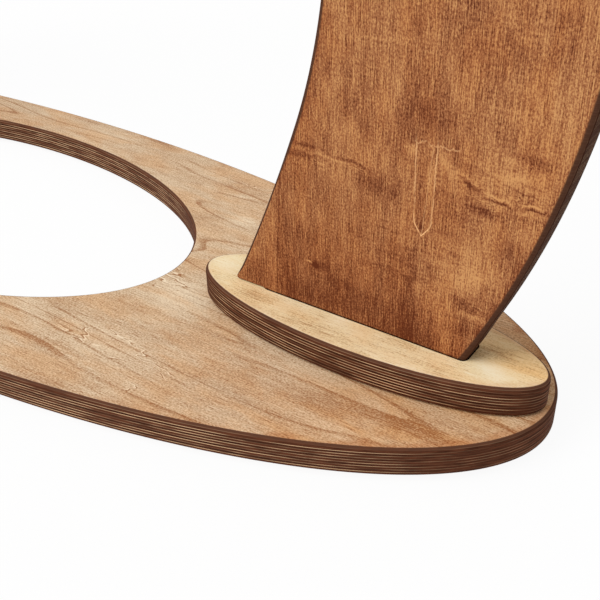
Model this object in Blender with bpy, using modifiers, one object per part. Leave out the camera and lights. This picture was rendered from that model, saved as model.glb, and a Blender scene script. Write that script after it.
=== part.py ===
"""Gong stand of birch plywood.

A round frame, cut in one piece, carries the gong on two hooks. Each of its
feet is a shouldered tenon that drops through a raised pad and into the oval
base plate, so the stand comes apart by lifting the frame straight up.

Metres, +Z up. X runs along the base and Y from front to back. The origin is on
the floor, under the middle of the stand.
"""

import math

import bmesh
import bpy
from mathutils import Vector

# Sheet and machining
sheet = 0.015               # plywood of eleven plies
round_over = 0.002          # radius of the router bit that eases every outer edge
slot_cutter = 0.003         # radius of the router bit that cuts the slots
seat_gap = 0.0003           # left between pieces that touch

# Round frame
frame_radius = 0.3983       # outside
frame_band = 0.1143         # outside to opening
frame_rise = 0.1824         # centre of the round above the pads
leg_rise = 0.087            # where the legs leave the round opening, above the pads
shoulder = 0.0167           # inner part of a foot that stands on the pad
corner_ease = 0.001         # radius of the shoulder's corner beyond the round-over
tenon_width = 0.106

# Slots for the tenons
slot_side_play = 0.0005     # on each face of the tenon
slot_inner_play = 0.0006    # under the shoulder
slot_outer_play = 0.0015    # shows beside the foot
tenon_end_play = 0.0008     # tenon ends this far above the base's underside

# Raised pads
pad_length = 0.181
pad_width = 0.0586
pad_shift = 0.0015          # pad sits this far further in than the tenon's middle

# Oval base plate
base_toe = 0.0029           # base beyond the tips of the pads
base_width = 0.2482
base_side_band = 0.0333     # base plate in front of its opening, and behind it
base_end_gap = 0.0275       # between the opening and the pads

# Countersunk screws that hold the pads
screw_radius = 0.002
screw_head_radius = 0.004
screw_head_edge = 0.0004
screw_tip = 0.004
screw_point_radius = 0.0007
screw_cover = 0.004         # wood left over the tip
screw_drive_radius = 0.0018
screw_drive_depth = 0.0015
screw_play = 0.0003

# Rubber feet
foot_radius = 0.009
foot_height = 0.003
foot_edge = 0.0008
foot_angles = (38, 90, 142, 218, 270, 322)

# Screw eyes
eye_spread = 0.075          # from the middle of the stand to each eye
eye_wire = 0.0015
eye_bore = 0.005            # inner radius of the eye
eye_neck = 0.0025           # radius of the bend between shank and eye
eye_stand_off = 0.0019      # shank that shows below the wood
eye_shank = 0.020           # shank inside the wood
eye_close = 60              # angle at which the wire's end stops beside the neck
eye_hole_play = 0.0003

# S hooks
hook_wire = 0.0015
hook_top_bore = 0.0035
hook_low_bore = 0.005
hook_top_start = 15         # angle of the free end of the upper bend
hook_low_end = -165         # angle of the free end of the lower bend
hook_gap = 0.0003

# Cutters and welds
tool_overrun = 0.005        # a cutter's reach beyond the wood
weld_distance = 0.00001

# Facets
oval_steps = 96
opening_steps = 72
pad_steps = 64
round_step = math.radians(3.75)
leg_steps = 10
corner_steps = 4
slot_corner_steps = 5
turned_steps = 16
bend_steps = 4
eye_steps = 22
hook_steps = 16
crease = math.radians(35)

# Heights, from the floor up
base_bottom = foot_height
base_top = base_bottom + sheet
pad_bottom = base_top + seat_gap
pad_top = pad_bottom + sheet
frame_seat = pad_top + seat_gap
frame_centre = frame_seat + frame_rise

# Places along X
opening_radius = frame_radius - frame_band
tenon_outer = math.sqrt(frame_radius ** 2 - frame_rise ** 2)
tenon_inner = tenon_outer - tenon_width
pad_middle = (tenon_outer + tenon_inner) / 2 - pad_shift
base_length = 2 * (pad_middle + pad_length / 2 + base_toe)
base_opening_length = 2 * (pad_middle - pad_length / 2 - base_end_gap)
base_opening_width = base_width - 2 * base_side_band
slot_inner = tenon_inner - slot_inner_play
slot_outer = tenon_outer + slot_outer_play
slot_half_width = sheet / 2 + slot_side_play


def clear_scene():
    for item in list(bpy.data.objects):
        bpy.data.objects.remove(item, do_unlink=True)


def new_collection(name):
    group = bpy.data.collections.new(name)
    bpy.context.scene.collection.children.link(group)
    return group


def new_material(name, colour, roughness, metallic=0.0):
    item = bpy.data.materials.new(name)
    item.use_nodes = True
    shader = item.node_tree.nodes["Principled BSDF"]
    shader.inputs["Base Color"].default_value = (*colour, 1.0)
    shader.inputs["Roughness"].default_value = roughness
    shader.inputs["Metallic"].default_value = metallic
    item.diffuse_color = (*colour, 1.0)
    return item


def smooth(mesh):
    mesh.shade_smooth()
    mesh.set_sharp_from_angle(angle=crease)


def arc(centre, radius, start, stop, steps):
    """Points on an arc, both ends included, with the angles in radians."""
    turns = [start + (stop - start) * i / steps for i in range(steps + 1)]
    return [Vector((centre[0] + radius * math.cos(t), centre[1] + radius * math.sin(t))) for t in turns]


def ellipse(length, width, steps):
    turns = [2 * math.pi * i / steps for i in range(steps)]
    return [Vector((length / 2 * math.cos(t), width / 2 * math.sin(t))) for t in turns]


def easy_curve(start, guide, end, steps):
    """A quadratic curve that leaves start towards guide and comes to end from it."""
    shares = [i / steps for i in range(steps + 1)]
    return [start * (1 - s) ** 2 + guide * 2 * s * (1 - s) + end * s ** 2 for s in shares]


def fillet(before, corner, after, radius, steps):
    """Points on the arc that eases a corner of an outline."""
    back = (before - corner).normalized()
    ahead = (after - corner).normalized()
    half = back.angle(ahead) / 2
    middle = corner + (back + ahead).normalized() * radius / math.sin(half)
    start = corner + back * radius / math.tan(half) - middle
    sweep = (math.pi - 2 * half) * (1 if ahead.cross(back) > 0 else -1)
    turns = [sweep * i / steps for i in range(steps + 1)]
    return [middle + Vector((
        start.x * math.cos(t) - start.y * math.sin(t),
        start.x * math.sin(t) + start.y * math.cos(t),
    )) for t in turns]


def add_spline(curve, points, closed):
    spline = curve.splines.new("POLY")
    spline.points.add(len(points) - 1)
    for item, point in zip(spline.points, points):
        item.co = (*point, 1.0) if len(point) == 3 else (*point, 0.0, 1.0)
    spline.use_cyclic_u = closed


def plate(name, outlines, thickness, rounding, group):
    """A flat piece in its own XY plane, with its middle at the origin and its edges eased."""
    curve = bpy.data.curves.new(name, "CURVE")
    curve.dimensions = "2D"
    curve.fill_mode = "BOTH"
    curve.extrude = thickness / 2 - rounding
    curve.bevel_depth = rounding
    curve.bevel_resolution = 1
    curve.offset = -rounding
    for points in outlines:
        add_spline(curve, points, True)
    drawn = bpy.data.objects.new(name, curve)
    group.objects.link(drawn)
    bpy.context.view_layer.update()
    mesh = bpy.data.meshes.new_from_object(drawn.evaluated_get(bpy.context.evaluated_depsgraph_get()))
    bpy.data.objects.remove(drawn)
    bpy.data.curves.remove(curve)
    weld(mesh)
    smooth(mesh)
    mesh.name = name
    solid = bpy.data.objects.new(name, mesh)
    group.objects.link(solid)
    return solid


def weld(mesh):
    work = bmesh.new()
    work.from_mesh(mesh)
    bmesh.ops.remove_doubles(work, verts=work.verts, dist=weld_distance)
    work.to_mesh(mesh)
    work.free()


def turned(name, profile, steps, group):
    """A turned piece about its own Z. The profile is (radius, height), top to bottom."""
    mesh = bpy.data.meshes.new(name)
    points = [(radius, 0.0, height) for radius, height in profile]
    mesh.from_pydata(points, [(i, i + 1) for i in range(len(points) - 1)], [])
    solid = bpy.data.objects.new(name, mesh)
    group.objects.link(solid)
    spin = solid.modifiers.new("turn", "SCREW")
    spin.steps = steps
    spin.render_steps = steps
    spin.use_merge_vertices = True
    spin.merge_threshold = weld_distance
    spin.use_smooth_shade = True
    return solid


def wire(name, points, radius, group):
    """A bent wire in its own XZ plane."""
    curve = bpy.data.curves.new(name, "CURVE")
    curve.dimensions = "3D"
    curve.bevel_depth = radius
    curve.bevel_resolution = 2
    curve.use_fill_caps = True
    add_spline(curve, [Vector((p[0], 0.0, p[1])) for p in points], False)
    bent = bpy.data.objects.new(name, curve)
    group.objects.link(bent)
    return bent


def cut(solid, cutter):
    step = solid.modifiers.new(cutter.name, "BOOLEAN")
    step.operation = "DIFFERENCE"
    step.solver = "EXACT"
    step.object = cutter


def as_cutter(item):
    item.hide_render = True
    item.display_type = "WIRE"
    return item


def finish(item, material):
    item.data.materials.clear()
    item.data.materials.append(material)


def foot_outline():
    """The right half of the frame: its inner and its outer edge, each from the tenon to the top.

    Heights are above the pads. The inner edge steps in from the tenon to the
    shoulder, and the leg then runs in one easy curve into the round opening.
    """
    tenon_foot = base_bottom + tenon_end_play - frame_seat
    leave = math.asin((leg_rise - frame_rise) / opening_radius)
    joins = Vector((opening_radius * math.cos(leave), leg_rise))
    corner = Vector((tenon_inner - shoulder, 0.0))
    heading = Vector((math.sin(leave), -math.cos(leave)))
    guide = joins + heading * (joins - corner).length / 2
    leg = easy_curve(corner, guide, joins, leg_steps)
    step_in = Vector((tenon_inner, 0.0))
    eased_corner = fillet(step_in, corner, leg[1], round_over + corner_ease, corner_steps)
    inner_steps = round((math.pi / 2 - leave) / round_step)
    inner_round = arc((0.0, frame_rise), opening_radius, leave, math.pi / 2, inner_steps)
    inner = [Vector((tenon_inner, tenon_foot)), step_in] + eased_corner + leg[1:] + inner_round[1:]
    stands = -math.asin(frame_rise / frame_radius)
    outer_steps = round((math.pi / 2 - stands) / round_step)
    outer_round = arc((0.0, frame_rise), frame_radius, stands, math.pi / 2, outer_steps)
    outer = [Vector((tenon_outer, tenon_foot))] + outer_round
    return inner, outer


def mirrored(points):
    return [Vector((-p.x, p.y)) for p in points]


def round_frame(group, cutters):
    """The one-piece frame, with a pilot hole for each screw eye."""
    inner, outer = foot_outline()
    loop = outer + mirrored(outer[:-1])[::-1] + mirrored(inner) + inner[:-1][::-1]
    solid = plate("round_frame", [loop], sheet, round_over, group)
    solid.rotation_euler = (math.pi / 2, 0.0, 0.0)
    solid.location = (0.0, 0.0, frame_seat)
    for side, label in ((-1, "left"), (1, "right")):
        place, tilt = eye_place(side)
        depth = eye_shank + 2 * eye_hole_play
        radius = eye_wire + eye_hole_play
        profile = [(0.0, depth), (radius, depth), (radius, -tool_overrun), (0.0, -tool_overrun)]
        hole = as_cutter(turned("eye_hole_" + label, profile, turned_steps, cutters))
        hole.location = place
        hole.rotation_euler = (0.0, tilt, 0.0)
        cut(solid, hole)
    return solid


def slot_outline():
    """The routed slot's plan, with corners of the cutter's radius."""
    reach_out = slot_outer - slot_cutter
    reach_in = slot_inner + slot_cutter
    side = slot_half_width - slot_cutter
    corners = ((reach_out, side, 0), (reach_in, side, 1), (reach_in, -side, 2), (reach_out, -side, 3))
    points = []
    for x, y, quarter in corners:
        start = quarter * math.pi / 2
        points += arc((x, y), slot_cutter, start, start + math.pi / 2, slot_corner_steps)
    return points


def slot_cutters(cutters):
    """One straight cutter for each slot, long enough for the base and the pad."""
    middle = (base_bottom + pad_top) / 2
    height = pad_top - base_bottom + 2 * tool_overrun
    made = []
    for side, label in ((-1, "left"), (1, "right")):
        outline = [Vector((side * p.x, p.y)) for p in slot_outline()]
        tool = as_cutter(plate("slot_" + label, [outline], height, 0.0, cutters))
        tool.location = (0.0, 0.0, middle)
        made.append(tool)
    return made


def screw_profile(grow):
    """Half outline of a countersunk screw with its head at the bottom, top to bottom."""
    length = pad_top - screw_cover - base_bottom
    cone = screw_head_radius - screw_radius
    head = screw_head_edge + cone
    tip = [(0.0, length + grow), (screw_point_radius + grow, length + grow)]
    return tip + [
        (screw_radius + grow, length - screw_tip),
        (screw_radius + grow, head + grow / 2),
        (screw_head_radius + grow, screw_head_edge + grow / 2),
    ]


def screw_places():
    """Four screws under each pad: one beyond each end of the slot and one on each side."""
    end = (tenon_width + pad_length) / 4
    side = (slot_half_width + pad_width / 2) / 2
    spots = ((-end, 0.0), (end, 0.0), (0.0, -side), (0.0, side))
    for hand, label in ((-1, "left"), (1, "right")):
        for number, (along, across) in enumerate(spots, 1):
            yield label, number, (hand * (pad_middle + along), across, base_bottom)


def pad_screws(group, cutters):
    """The countersunk screws, and for each the cutter of its hole."""
    recess = [(screw_drive_radius, 0.0), (0.0, screw_drive_depth)]
    shape = screw_profile(0.0) + [(screw_head_radius, 0.0)] + recess
    head = screw_head_radius + screw_play
    hole_shape = screw_profile(screw_play) + [(head, -tool_overrun), (0.0, -tool_overrun)]
    screws = []
    holes = {"left": [], "right": []}
    for label, number, place in screw_places():
        tag = "_%s_%d" % (label, number)
        screw = turned("pad_screw" + tag, shape, turned_steps, group)
        hole = as_cutter(turned("screw_hole" + tag, hole_shape, turned_steps, cutters))
        screw.location = place
        hole.location = place
        screws.append(screw)
        holes[label].append(hole)
    return screws, holes


def base_plate(group):
    rim = ellipse(base_length, base_width, oval_steps)
    opening = ellipse(base_opening_length, base_opening_width, opening_steps)
    solid = plate("base_plate", [rim, opening], sheet, round_over, group)
    solid.location = (0.0, 0.0, base_bottom + sheet / 2)
    return solid


def raised_pad(label, side, group):
    solid = plate("pad_" + label, [ellipse(pad_length, pad_width, pad_steps)], sheet, round_over, group)
    solid.location = (side * pad_middle, 0.0, pad_bottom + sheet / 2)
    return solid


def rubber_feet(group):
    """Round feet along the middle of the base plate's band."""
    height = foot_height - seat_gap
    profile = [
        (0.0, height),
        (foot_radius, height),
        (foot_radius, foot_edge),
        (foot_radius - foot_edge, 0.0),
        (0.0, 0.0),
    ]
    reach = (base_length + base_opening_length) / 4
    spread = (base_width + base_opening_width) / 4
    feet = []
    for number, degrees in enumerate(foot_angles, 1):
        turn = math.radians(degrees)
        foot = turned("rubber_foot_%d" % number, profile, turned_steps, group)
        foot.location = (reach * math.cos(turn), spread * math.sin(turn), 0.0)
        feet.append(foot)
    return feet


def eye_place(side):
    """Where a screw eye enters the edge of the opening, and its tilt about Y."""
    tilt = math.asin(side * eye_spread / opening_radius)
    rise = math.sqrt(opening_radius ** 2 - eye_spread ** 2)
    return Vector((side * eye_spread, 0.0, frame_centre + rise)), tilt


def eye_drop():
    """From the wood to the middle of the eye, and to the start of the neck's bend."""
    ring = eye_bore + eye_wire
    neck = math.sqrt((ring + eye_neck) ** 2 - eye_neck ** 2)
    return eye_stand_off + neck, eye_stand_off


def screw_eye(label, side, group):
    """One wire: the shank in the wood, a bend at the neck, and nearly a full turn."""
    ring = eye_bore + eye_wire
    drop, neck_start = eye_drop()
    touch = math.atan2(drop - neck_start, -eye_neck)
    bend = arc((-eye_neck, -neck_start), eye_neck, 0.0, touch - math.pi, bend_steps)
    turn = arc((0.0, -drop), ring, touch, 2 * math.pi + math.radians(eye_close), eye_steps)
    place, tilt = eye_place(side)
    item = wire("screw_eye_" + label, [Vector((0.0, eye_shank))] + bend + turn[1:], eye_wire, group)
    item.location = place
    item.rotation_euler = (0.0, tilt, 0.0)
    return item


def hook_pivot(side):
    """The lowest point of the eye's wire, which the hook swings on."""
    place, tilt = eye_place(side)
    drop = eye_drop()[0]
    middle = place - Vector((math.sin(tilt), 0.0, math.cos(tilt))) * drop
    return middle - Vector((0.0, 0.0, eye_bore + eye_wire))


def s_hook(label, side, group):
    """Two bends of one wire that turn opposite ways and meet between them."""
    top = hook_top_bore + hook_wire
    low = hook_low_bore + hook_wire
    top_middle = eye_wire + hook_gap + hook_wire - top
    low_middle = top_middle - top - low
    upper = arc((0.0, top_middle), top, math.radians(hook_top_start), 1.5 * math.pi, hook_steps)
    lower = arc((0.0, low_middle), low, math.pi / 2, math.radians(hook_low_end), hook_steps)
    item = wire("s_hook_" + label, upper + lower[1:], hook_wire, group)
    item.location = hook_pivot(side)
    item.rotation_euler = (0.0, 0.0, math.pi / 2)
    return item


def main():
    clear_scene()
    stand = new_collection("gong_stand")
    cutters = new_collection("cutters")

    base_wood = new_material("base_wood", (0.60, 0.40, 0.24), 0.50)
    pad_wood = new_material("pad_wood", (0.69, 0.48, 0.27), 0.50)
    frame_wood = new_material("frame_wood", (0.36, 0.145, 0.06), 0.45)
    zinc = new_material("zinc_steel", (0.62, 0.60, 0.56), 0.35, 1.0)
    nickel = new_material("nickel_steel", (0.66, 0.64, 0.60), 0.25, 1.0)
    rubber = new_material("black_rubber", (0.02, 0.02, 0.02), 0.85)

    base = base_plate(stand)
    pads = {"left": raised_pad("left", -1, stand), "right": raised_pad("right", 1, stand)}
    screws, holes = pad_screws(stand, cutters)
    slots = slot_cutters(cutters)
    for slot, (label, pad) in zip(slots, pads.items()):
        for tool in [slot] + holes[label]:
            cut(base, tool)
            cut(pad, tool)
    feet = rubber_feet(stand)

    frame = round_frame(stand, cutters)
    lift = bpy.data.objects.new("frame_lift", None)
    lift.location = (0.0, 0.0, frame_seat)
    stand.objects.link(lift)
    eyes = []
    hooks = []
    for side, label in ((-1, "left"), (1, "right")):
        eyes.append(screw_eye(label, side, stand))
        hooks.append(s_hook(label, side, stand))
    for item in [frame] + eyes + hooks:
        item.parent = lift
        item.location -= lift.location
    for item in list(pads.values()) + screws + feet:
        item.parent = base
        item.location -= base.location

    finish(base, base_wood)
    for pad in pads.values():
        finish(pad, pad_wood)
    finish(frame, frame_wood)
    for screw in screws:
        finish(screw, zinc)
    for item in eyes + hooks:
        finish(item, nickel)
    for foot in feet:
        finish(foot, rubber)


main()
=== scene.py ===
"""The finished look of a knock-down gong stand of stained birch plywood.

Laid out as an add-on. Each group of like pieces has its sizes and colours, an
operator that makes it, and a button in the sidebar. Metres, +Z up, X along the
base and Y from front to back.
"""

import math

import bmesh
import bpy
import numpy as np
from bpy.props import FloatProperty, FloatVectorProperty, IntProperty, PointerProperty
from bpy.types import Operator, Panel, PropertyGroup
from mathutils import Matrix, Vector


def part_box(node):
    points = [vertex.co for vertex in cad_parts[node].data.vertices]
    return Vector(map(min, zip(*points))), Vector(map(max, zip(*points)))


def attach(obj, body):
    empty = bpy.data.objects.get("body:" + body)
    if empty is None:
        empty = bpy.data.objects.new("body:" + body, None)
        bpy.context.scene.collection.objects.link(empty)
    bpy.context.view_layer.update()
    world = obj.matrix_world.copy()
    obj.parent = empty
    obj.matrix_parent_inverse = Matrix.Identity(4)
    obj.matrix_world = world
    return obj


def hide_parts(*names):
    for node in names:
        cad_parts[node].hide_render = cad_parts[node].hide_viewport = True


bl_info = {
    "name": "Gong Stand",
    "version": (1, 0, 0),
    "blender": (4, 5, 0),
    "location": "3D View > Sidebar > Gong Stand",
    "description": "Makes a gong stand of stained birch plywood with its screws, eyes and hooks",
    "category": "Object",
}

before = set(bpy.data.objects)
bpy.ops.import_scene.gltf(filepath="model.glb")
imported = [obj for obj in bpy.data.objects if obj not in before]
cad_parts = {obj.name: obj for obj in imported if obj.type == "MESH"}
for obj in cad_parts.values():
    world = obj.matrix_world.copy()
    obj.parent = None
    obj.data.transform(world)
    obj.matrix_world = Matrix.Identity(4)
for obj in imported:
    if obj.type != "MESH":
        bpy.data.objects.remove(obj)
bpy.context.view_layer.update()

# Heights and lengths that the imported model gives
base_low, base_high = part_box("base_plate")
pad_low, pad_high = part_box("pad_right")
ring_low, ring_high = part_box("round_frame")
foot_low, foot_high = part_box("rubber_foot_1")

MILLIMETRES = 1000.0
WHITE = (1.0, 1.0, 1.0, 1.0)
SIDES = (("left", -1), ("right", 1))
SCREWS_IN_A_PAD = 4
FEET = 6

# Points nearer than this are one, and edges that turn more than this stay sharp
WELD = 1e-7
CREASE = math.radians(32)

# How far a hole's cutter starts outside the wood, and the facets round a hole and
# along a wire's rounded end
CUTTER_REACH = 0.005
HOLE_STEPS = 24
END_STEPS = 6

# The camera's sensor in millimetres, and how near it sees, in metres
SENSOR_WIDTH = 36.0
NEAREST_SEEN = 0.01


def length(name, default, description):
    """A length in metres, shown to a hundredth of a millimetre."""
    return FloatProperty(name=name, description=description, default=default, unit="LENGTH", precision=5)


def angle(name, default, description):
    """An angle, given here in degrees and kept in radians."""
    return FloatProperty(name=name, description=description, default=math.radians(default), subtype="ANGLE")


def count(name, default, description):
    return IntProperty(name=name, description=description, default=default, min=1)


def amount(name, default, description):
    return FloatProperty(name=name, description=description, default=default, min=0.0)


def colour(name, default, description):
    """A colour given as it shows on a screen, from 0 to 255, and kept as linear light."""
    linear = [(v / 255) ** 2.2 for v in default]
    return FloatVectorProperty(
        name=name, description=description, default=linear, subtype="COLOR", size=3, min=0.0, max=1.0
    )


class GongStandSheet(PropertyGroup):
    """The plywood that every wooden piece is cut from."""

    thickness: length("Thickness", base_high.z - base_low.z, "Thickness of the sheet")
    plies: count("Plies", 11, "Layers of birch in the sheet")
    face_ply: length("Face Ply", 0.0009, "Thickness of the two outer plies, which are sanded thinner")
    round_over: length("Round-over", 0.002, "Radius of the eased edges")
    round_steps: count("Round-over Steps", 8, "Facets across an eased edge")
    flat_hold: length("Flat Hold", 0.0005, "Flat strip beside an eased edge")


class GongStandBase(PropertyGroup):
    """The oval base plate."""

    long: length("Length", base_high.x - base_low.x, "Length of the oval")
    wide: length("Width", base_high.y - base_low.y, "Width of the oval")
    opening_long: length("Opening Length", 0.36316, "Length of the oval opening")
    opening_wide: length("Opening Width", 0.1816, "Width of the oval opening")
    steps: count("Steps", 360, "Facets round the oval")


class GongStandPads(PropertyGroup):
    """The two raised pads and the slots that run through them and the base plate."""

    long: length("Length", pad_high.x - pad_low.x, "Length of a pad")
    wide: length("Width", pad_high.y - pad_low.y, "Width of a pad")
    middle: length("Middle", (pad_low.x + pad_high.x) / 2, "From the stand's middle to a pad's middle")
    steps: count("Steps", 224, "Facets round a pad")
    slot_inner: length("Slot Start", 0.24748, "From the stand's middle to the near end of a slot")
    slot_outer: length("Slot End", 0.35558, "From the stand's middle to the far end of a slot")
    slot_wide: length("Slot Width", 0.016, "Width of a slot")
    slot_corner: length("Slot Corner", 0.003, "Radius of the cutter that routs a slot")
    corner_steps: count("Corner Steps", 8, "Facets in a slot's corner")


class GongStandRing(PropertyGroup):
    """The one-piece round frame with its two feet."""

    radius: length("Radius", ring_high.x, "Outside radius")
    opening: length("Opening Radius", 0.284, "Radius of the round opening")
    centre: length("Centre Height", 0.216, "Height of the round's centre above the floor")
    seat: length("Seat Height", 0.0336, "Height at which the shoulders stand on the pads")
    leg_top: length("Leg Top", 0.1206, "Height at which the legs run into the round opening")
    shoulder: length("Shoulder", 0.0167, "Part of a foot that stands on its pad")
    corner: length("Shoulder Corner", 0.0013, "Radius of the shoulder's lower corner")
    fade: length("Round-over Fade", 0.008, "Height over which a leg's round-over grows to its full radius")
    crisp: amount("Crisp Edge", 0.22, "Share of the round-over on the tenons and under the shoulders")
    tenon: length("Tenon Width", 0.106, "Width of the tenon in its slot")
    full: length("Outer Fullness", 0.0009, "How far the tenon's outer edge stands out past the round")
    full_high: length("Fullness Height", 0.020, "Height above the seat at which the fullness has gone")
    leg_steps: count("Leg Steps", 28, "Facets along a leg's inner edge")
    round_steps: count("Round Steps", 110, "Facets from a leg to the top")
    corner_steps: count("Corner Steps", 8, "Facets round the shoulder's corner")
    tenon_steps: count("Tenon Steps", 4, "Facets along the tenon")


class GongStandScrews(PropertyGroup):
    """Countersunk screws, driven up through the base plate into the pads."""

    radius: length("Radius", 0.002, "Radius over the thread")
    core: length("Core Radius", 0.0014, "Radius under the thread")
    pitch: length("Pitch", 0.0018, "Rise of one turn of the thread")
    head: length("Head Radius", 0.004, "Radius of the head")
    head_edge: length("Head Edge", 0.0004, "Straight edge of the head")
    long: length("Length", 0.0263, "Length with the head")
    tip: length("Tip", 0.004, "Length of the tapered tip")
    point: length("Point", 0.0007, "Radius at the end of the tip")
    drive: length("Drive Radius", 0.0018, "Reach of the cross recess")
    drive_wide: length("Drive Width", 0.0010, "Width of one slot of the cross recess")
    drive_deep: length("Drive Depth", 0.0014, "Depth of the cross recess")
    play: length("Play", 0.0003, "Room round a screw in its hole")
    steps: count("Steps", 48, "Facets round a screw")


class GongStandFeet(PropertyGroup):
    """Thin round feet of black rubber."""

    radius: length("Radius", 0.009, "Radius of a foot")
    high: length("Height", foot_high.z - foot_low.z, "Height of a foot")
    edge: length("Edge", 0.0008, "Radius of the foot's lower edge")
    steps: count("Steps", 72, "Facets round a foot")


class GongStandEyes(PropertyGroup):
    """Screw eyes in the top of the round opening."""

    spread: length("Spread", 0.075, "From the stand's middle to an eye")
    wire: length("Wire Radius", 0.0015, "Radius of the wire")
    bore: length("Bore", 0.005, "Inner radius of the eye")
    neck: length("Neck", 0.0025, "Radius of the bend between shank and eye")
    stand_off: length("Stand-off", 0.0019, "Shank that shows below the wood")
    shank: length("Shank", 0.020, "Shank inside the wood")
    core: length("Core Radius", 0.00112, "Radius under the thread")
    pitch: length("Pitch", 0.0014, "Rise of one turn of the thread")
    close: angle("Closing Angle", 60, "Where the wire's end stops beside the neck")
    play: length("Play", 0.0003, "Room round the shank in its hole")
    steps: count("Steps", 32, "Facets round the wire")


class GongStandHooks(PropertyGroup):
    """S hooks that hang in the eyes and take the gong's cords."""

    wire: length("Wire Radius", 0.0015, "Radius of the wire")
    top_bore: length("Upper Bore", 0.0035, "Inner radius of the upper bend")
    low_bore: length("Lower Bore", 0.005, "Inner radius of the lower bend")
    top_start: angle("Upper End", 15, "Where the upper bend's free end stops")
    low_end: angle("Lower End", -165, "Where the lower bend's free end stops")
    gap: length("Gap", 0.0003, "Left between a hook and its eye")
    bend_steps: count("Bend Steps", 64, "Facets along each bend")
    steps: count("Steps", 32, "Facets round the wire")


class GongStandStain(PropertyGroup):
    """Colours of the stained wood, as they show under the studio's light."""

    base_light: colour("Base Light", (248, 225, 193), "Pale grain of the base plate")
    base_mid: colour("Base Middle", (218, 188, 153), "Most of the base plate")
    base_dark: colour("Base Dark", (166, 118, 80), "Dark grain of the base plate")
    pad_light: colour("Pad Light", (255, 240, 208), "Pale grain of the pads")
    pad_mid: colour("Pad Middle", (246, 222, 174), "Most of a pad")
    pad_dark: colour("Pad Dark", (172, 122, 76), "Dark grain of the pads")
    ring_light: colour("Frame Light", (214, 157, 102), "Pale grain of the round frame")
    ring_mid: colour("Frame Middle", (167, 107, 70), "Most of the round frame")
    ring_dark: colour("Frame Dark", (102, 54, 34), "Dark grain of the round frame")
    ring_mark: colour("Growth Mark", (255, 200, 142), "Pale growth mark on the round frame")
    edge_light: colour("Glue Line", (255, 212, 164), "Pale lines between the plies on the edges")
    edge_mid: colour("Edge Light Ply", (111, 66, 46), "Plies that run along an edge")
    edge_dark: colour("Edge Dark Ply", (62, 35, 23), "Plies that show their end grain at an edge")
    # The eased edge's greyish tone is partly painted sheen of the sky on the round-over, and partly darker
    # stain.
    round_over_stain_and_sheen: colour("Eased Edge", (92, 64, 50), "The eased edge beside a face")
    fringe: colour("Fringe", (208, 156, 110), "Where the stain drew into a face beside its edge")
    warmth: colour("Warmth", (250, 222, 190), "Warmer patches of a face")
    # The tenon colour is painted shade: multiplied over the frame below the seat, it makes the slot's gap and
    # the seat line look shadowed.
    tenon: colour("Tenon", (100, 88, 82), "Deeper stain over the figure of the tenons")


class GongStandMetals(PropertyGroup):
    """Colours of the small parts."""

    zinc: colour("Zinc", (200, 196, 182), "Plated screws")
    nickel: colour("Nickel", (206, 202, 194), "Plated eyes and hooks")
    rubber: colour("Rubber", (30, 30, 31), "Feet")


class GongStandStage(PropertyGroup):
    """The studio: floor, lamps, sky and camera."""

    floor: colour("Floor", (252, 252, 252), "Colour of the floor")
    floor_reach: length("Floor Reach", 4.0, "From the middle of the floor to its edge")
    floor_glow: FloatProperty(
        name="Floor Glow", description="Share of the floor that shows as plain white", default=0.93,
        min=0.0, max=1.0, subtype="FACTOR",
    )
    sky: amount("Sky Light", 0.52, "Strength of the even light from all round")
    key: amount("Key Light", 1.75, "Strength of the soft lamp")
    key_azimuth: angle("Key Azimuth", -40, "Side that the soft lamp stands on, from the front")
    key_elevation: angle("Key Elevation", 50, "Height of the soft lamp")
    key_softness: angle("Key Softness", 38, "Width of the soft lamp as the stand sees it")
    camera_place: FloatVectorProperty(
        name="Camera Place", description="Where the camera stands", default=(0.4792, -0.3061, 0.2774),
        subtype="XYZ", unit="LENGTH", size=3,
    )
    camera_azimuth: angle("Camera Azimuth", 35.08, "Side that the camera looks from")
    camera_elevation: angle("Camera Elevation", 33.707, "Height that the camera looks from")
    camera_roll: angle("Camera Roll", -1.16, "Tilt of the camera about its own line of sight")
    lens: amount("Lens", 55.87, "Focal length in millimetres on a sensor of 36 millimetres")


class GongStandSettings(PropertyGroup):
    """Every size and colour of the stand."""

    sheet: PointerProperty(type=GongStandSheet)
    base: PointerProperty(type=GongStandBase)
    pads: PointerProperty(type=GongStandPads)
    ring: PointerProperty(type=GongStandRing)
    screws: PointerProperty(type=GongStandScrews)
    feet: PointerProperty(type=GongStandFeet)
    eyes: PointerProperty(type=GongStandEyes)
    hooks: PointerProperty(type=GongStandHooks)
    stain: PointerProperty(type=GongStandStain)
    metals: PointerProperty(type=GongStandMetals)
    stage: PointerProperty(type=GongStandStage)


# Outlines: arrays of points in a flat piece's own plane


def oval(long, wide, steps):
    """Half the length times the cosine and half the width times the sine of one even turn."""
    turn = full_turn(steps)
    return np.stack([long / 2 * np.cos(turn), wide / 2 * np.sin(turn)], axis=1)


def arc(centre, radius, start, stop, steps):
    """The centre plus the radius times the cosine and sine of angles from start to stop."""
    turn = np.linspace(start, stop, steps + 1)
    return np.asarray(centre) + radius * np.stack([np.cos(turn), np.sin(turn)], axis=1)


def easy_curve(start, guide, end, steps):
    """A quadratic curve that leaves start towards guide and comes to end from it."""
    s = np.linspace(0.0, 1.0, steps + 1)[:, None]
    return start * (1 - s) ** 2 + guide * 2 * s * (1 - s) + end * s ** 2


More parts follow.
